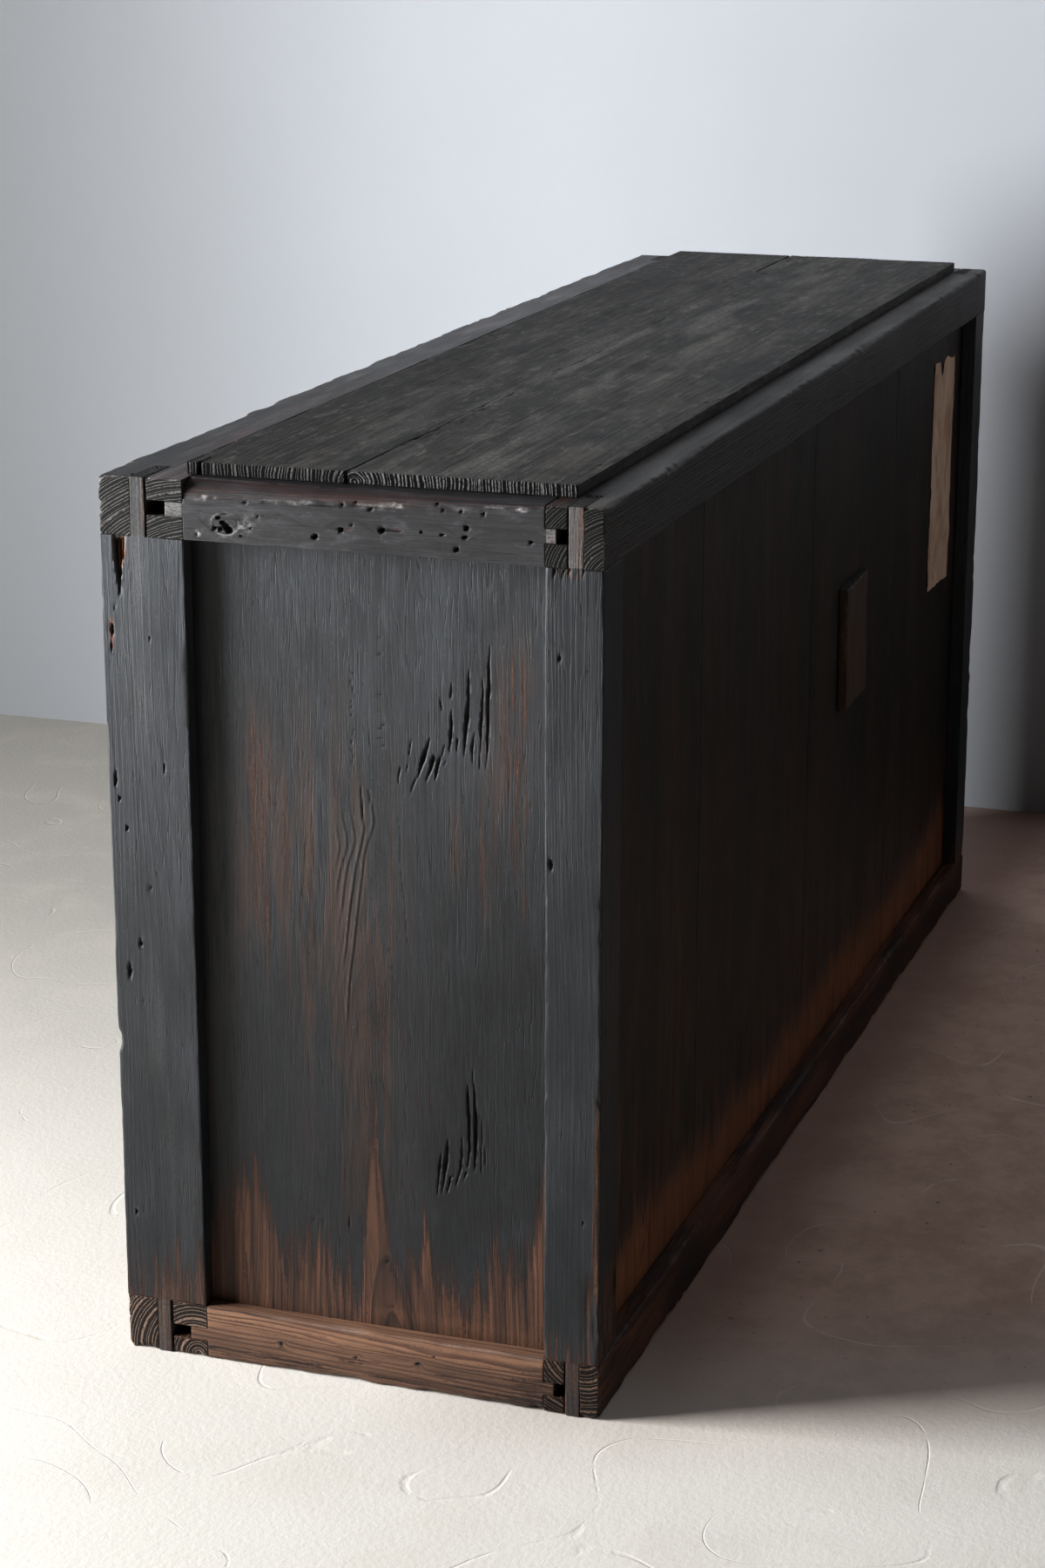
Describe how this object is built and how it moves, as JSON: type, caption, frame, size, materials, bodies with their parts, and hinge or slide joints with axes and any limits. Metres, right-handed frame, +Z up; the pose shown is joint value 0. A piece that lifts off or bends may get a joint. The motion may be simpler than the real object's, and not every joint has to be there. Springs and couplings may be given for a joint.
{
  "type": "tansu chest",
  "caption": "Long low frame-and-panel chest of old softwood with a board top, recessed end and back boards, sliding doors below and drawers with hanging handles above.",
  "frame": {"origin": "on the floor, at the middle of the whole object's footprint", "axes": "+X along the length towards the end with the waney top rail, +Y towards the back, +Z up"},
  "size_m": [1.515, 0.453, 0.796],
  "materials": {
    "frame_wood": "soot-black aged softwood, satin, worn at its edges",
    "back_wood": "nearly black aged softwood, bare brown at its foot",
    "top_wood": "dull charcoal softwood, dry and scoured",
    "bare_wood": "bare brown softwood, stained",
    "front_wood": "dark brown aged softwood",
    "inner_wood": "unfinished softwood, darkened by age",
    "patch_wood": "brown softwood block",
    "paper": "thin aged paper, blank, stained",
    "iron": "forged iron, dark"
  },
  "bodies": {
    "case": {"front_top_rail": "frame_wood", "front_bottom_rail": "frame_wood", "back_top_rail": "back_wood", "back_bottom_rail": "bare_wood", "front_post_right": "frame_wood", "front_post_left": "frame_wood", "back_post_right": "frame_wood", "back_post_left": "frame_wood", "end_top_rail_right": "frame_wood", "end_top_rail_left": "frame_wood", "end_bottom_rail_right": "bare_wood", "end_bottom_rail_left": "bare_wood", "end_panel_right": "frame_wood", "end_panel_left": "frame_wood", "back_board_1": "back_wood", "back_board_2": "back_wood", "back_board_3": "back_wood", "back_board_4": "back_wood", "top_board": "top_wood", "patch_block": "patch_wood", "paper_label": "paper", "nails": "iron", "floor_board_front": "inner_wood", "floor_board_back": "inner_wood", "floor_batten_1": "inner_wood", "floor_batten_2": "inner_wood", "floor_batten_3": "inner_wood", "middle_front_rail": "front_wood", "middle_back_rail": "inner_wood", "deck_board": "inner_wood", "drawer_divider": "front_wood", "centre_bearer": "inner_wood", "centre_guide": "inner_wood", "drawer_runner_right": "inner_wood", "drawer_runner_left": "inner_wood"},
    "door_right": {"door_right_closing_stile": "front_wood", "door_right_inner_stile": "front_wood", "door_right_top_rail": "front_wood", "door_right_bottom_rail": "front_wood", "door_right_panel": "front_wood"},
    "door_left": {"door_left_closing_stile": "front_wood", "door_left_inner_stile": "front_wood", "door_left_top_rail": "front_wood", "door_left_bottom_rail": "front_wood", "door_left_panel": "front_wood"},
    "drawer_right": {"drawer_right_front": "front_wood", "drawer_right_side_outer": "inner_wood", "drawer_right_side_inner": "inner_wood", "drawer_right_back": "inner_wood", "drawer_right_bottom": "inner_wood", "drawer_right_eyes": "iron"},
    "handle_right": {"drawer_right_handle": "iron"},
    "drawer_left": {"drawer_left_front": "front_wood", "drawer_left_side_outer": "inner_wood", "drawer_left_side_inner": "inner_wood", "drawer_left_back": "inner_wood", "drawer_left_bottom": "inner_wood", "drawer_left_eyes": "iron"},
    "handle_left": {"drawer_left_handle": "iron"}
  },
  "joints": [
    {"name": "door_right_slide", "type": "slide", "parent": "case", "child": "door_right", "axis": [-1, 0, 0], "range_m": [0, 0.684]},
    {"name": "door_left_slide", "type": "slide", "parent": "case", "child": "door_left", "axis": [1, 0, 0], "range_m": [0, 0.684]},
    {"name": "drawer_right_slide", "type": "slide", "parent": "case", "child": "drawer_right", "axis": [0, -1, 0], "range_m": [0, 0.31]},
    {"name": "drawer_left_slide", "type": "slide", "parent": "case", "child": "drawer_left", "axis": [0, -1, 0], "range_m": [0, 0.31]},
    {"name": "handle_right_swing", "type": "hinge", "parent": "drawer_right", "child": "handle_right", "pos_m": [0.36275, -0.2195, 0.67023], "axis": [-1, 0, 0], "range_deg": [-8, 165]},
    {"name": "handle_left_swing", "type": "hinge", "parent": "drawer_left", "child": "handle_left", "pos_m": [-0.36275, -0.2195, 0.67023], "axis": [-1, 0, 0], "range_deg": [-8, 165]}
  ]
}
